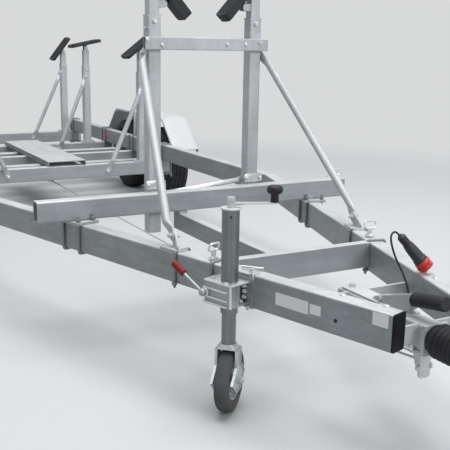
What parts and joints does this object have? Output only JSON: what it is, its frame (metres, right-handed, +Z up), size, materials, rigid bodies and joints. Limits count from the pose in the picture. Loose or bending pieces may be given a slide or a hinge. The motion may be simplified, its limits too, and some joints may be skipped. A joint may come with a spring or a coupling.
{
  "type": "boat trailer",
  "caption": "Braked tandem-axle road trailer for a yacht: V drawbar, straight side rails, tall bow posts and tiltable side props with pads, parked on its jockey wheel.",
  "frame": {"origin": "on the ground, midway along the trailer and across it", "axes": "+X to the trailer's left, +Y to its rear, +Z up"},
  "size_m": [2.26, 6.481, 1.5693],
  "materials": {
    "black_plastic": "moulded, matte",
    "black_rubber": "matte rubber",
    "galvanised_steel": "hot-dip galvanised, spangled",
    "lamp_red": "moulded lens, glossy",
    "orange_plastic": "moulded, glossy",
    "pad_rubber": "matte rubber",
    "red_plastic": "moulded, glossy",
    "rim_steel": "galvanised, satin",
    "tyre_rubber": "matte rubber",
    "white_plastic": "moulded, satin",
    "zinc_steel": "zinc plated, satin"
  },
  "bodies": {
    "frame": {"axle_front": "galvanised_steel", "axle_rear": "galvanised_steel", "bellows": "black_rubber", "bow_post_left": "galvanised_steel", "bow_post_right": "galvanised_steel", "bow_stay_left": "galvanised_steel", "bow_stay_right": "galvanised_steel", "brake_linkage": "zinc_steel", "centre_tie": "galvanised_steel", "clamp_grip": "orange_plastic", "coupling_head": "zinc_steel", "crank_grip": "black_rubber", "crossmember_1": "galvanised_steel", "crossmember_2": "galvanised_steel", "crossmember_3": "galvanised_steel", "crossmember_4": "galvanised_steel", "drawbar_caps": "black_plastic", "drawbar_left": "galvanised_steel", "drawbar_right": "galvanised_steel", "front_crossbar": "galvanised_steel", "handbrake_grip": "black_rubber", "handbrake_lever": "zinc_steel", "jack_clamp": "galvanised_steel", "jack_tube": "galvanised_steel", "keel_plank": "galvanised_steel", "mudguard_left": "white_plastic", "mudguard_right": "white_plastic", "overrun_housing": "zinc_steel", "plug_body": "black_plastic", "plug_cable": "black_plastic", "plug_cap": "red_plastic", "post_bar": "galvanised_steel", "post_crossbeam": "galvanised_steel", "props_1": "galvanised_steel", "props_2": "galvanised_steel", "props_3": "galvanised_steel", "rear_lamps": "lamp_red", "side_rail_left": "galvanised_steel", "side_rail_right": "galvanised_steel"},
    "wheel_left_front": {"tyre_left_front": "tyre_rubber", "rim_left_front": "rim_steel"},
    "wheel_left_rear": {"tyre_left_rear": "tyre_rubber", "rim_left_rear": "rim_steel"},
    "bow_pad_left": {"bow_pad_left": "pad_rubber"},
    "prop_pad_left_1": {"prop_pad_left_1": "pad_rubber"},
    "prop_pad_left_2": {"prop_pad_left_2": "pad_rubber"},
    "prop_pad_left_3": {"prop_pad_left_3": "pad_rubber"},
    "wheel_right_front": {"tyre_right_front": "tyre_rubber", "rim_right_front": "rim_steel"},
    "wheel_right_rear": {"tyre_right_rear": "tyre_rubber", "rim_right_rear": "rim_steel"},
    "bow_pad_right": {"bow_pad_right": "pad_rubber"},
    "prop_pad_right_1": {"prop_pad_right_1": "pad_rubber"},
    "prop_pad_right_2": {"prop_pad_right_2": "pad_rubber"},
    "prop_pad_right_3": {"prop_pad_right_3": "pad_rubber"},
    "jack_leg": {"jack_leg": "galvanised_steel"},
    "jockey_castor": {"jockey_fork": "galvanised_steel"},
    "jockey_wheel": {"jockey_tyre": "tyre_rubber", "jockey_rim": "rim_steel"}
  },
  "joints": [
    {"name": "wheel_left_front_spin", "type": "hinge", "parent": "frame", "child": "wheel_left_front", "pos_m": [1.0075, 1.302, 0.3], "axis": [1, 0, 0], "continuous": true},
    {"name": "wheel_left_rear_spin", "type": "hinge", "parent": "frame", "child": "wheel_left_rear", "pos_m": [1.0075, 2.002, 0.3], "axis": [1, 0, 0], "continuous": true},
    {"name": "wheel_right_front_spin", "type": "hinge", "parent": "frame", "child": "wheel_right_front", "pos_m": [-1.0075, 1.302, 0.3], "axis": [1, 0, 0], "continuous": true},
    {"name": "wheel_right_rear_spin", "type": "hinge", "parent": "frame", "child": "wheel_right_rear", "pos_m": [-1.0075, 2.002, 0.3], "axis": [1, 0, 0], "continuous": true},
    {"name": "jack_slide", "type": "slide", "parent": "frame", "child": "jack_leg", "axis": [0, 0, 1], "range_m": [-0.1, 0.09]},
    {"name": "castor_swivel", "type": "hinge", "parent": "jack_leg", "child": "jockey_castor", "pos_m": [-0.40186, -2.356, 0.255], "axis": [0, 0, 1], "continuous": true},
    {"name": "jockey_spin", "type": "hinge", "parent": "jockey_castor", "child": "jockey_wheel", "pos_m": [-0.38772, -2.34186, 0.118], "axis": [0.7071, -0.7071, 0], "continuous": true},
    {"name": "prop_pad_right_1_tilt", "type": "hinge", "parent": "frame", "child": "prop_pad_right_1", "pos_m": [-0.655, 0.957, 1.217], "axis": [0, 1, 0], "range_deg": [-85, 25]},
    {"name": "prop_pad_left_1_tilt", "type": "hinge", "parent": "frame", "child": "prop_pad_left_1", "pos_m": [0.655, 0.957, 1.217], "axis": [0, 1, 0], "range_deg": [-17, 93]},
    {"name": "prop_pad_right_2_tilt", "type": "hinge", "parent": "frame", "child": "prop_pad_right_2", "pos_m": [-0.655, 2.227, 1.221], "axis": [0, 1, 0], "range_deg": [-71, 39]},
    {"name": "prop_pad_left_2_tilt", "type": "hinge", "parent": "frame", "child": "prop_pad_left_2", "pos_m": [0.655, 2.227, 1.221], "axis": [0, 1, 0], "range_deg": [-43, 67]},
    {"name": "prop_pad_right_3_tilt", "type": "hinge", "parent": "frame", "child": "prop_pad_right_3", "pos_m": [-0.738, 3.167, 1.177], "axis": [0, 1, 0], "range_deg": [-89, 21]},
    {"name": "prop_pad_left_3_tilt", "type": "hinge", "parent": "frame", "child": "prop_pad_left_3", "pos_m": [0.738, 3.167, 1.177], "axis": [0, 1, 0], "range_deg": [-3, 107]},
    {"name": "bow_pad_right_tilt", "type": "hinge", "parent": "frame", "child": "bow_pad_right", "pos_m": [-0.184, -1.31, 1.437], "axis": [0, 1, 0], "range_deg": [-20, 20]},
    {"name": "bow_pad_left_tilt", "type": "hinge", "parent": "frame", "child": "bow_pad_left", "pos_m": [0.232, -1.31, 1.437], "axis": [0, 1, 0], "range_deg": [-20, 20]}
  ]
}
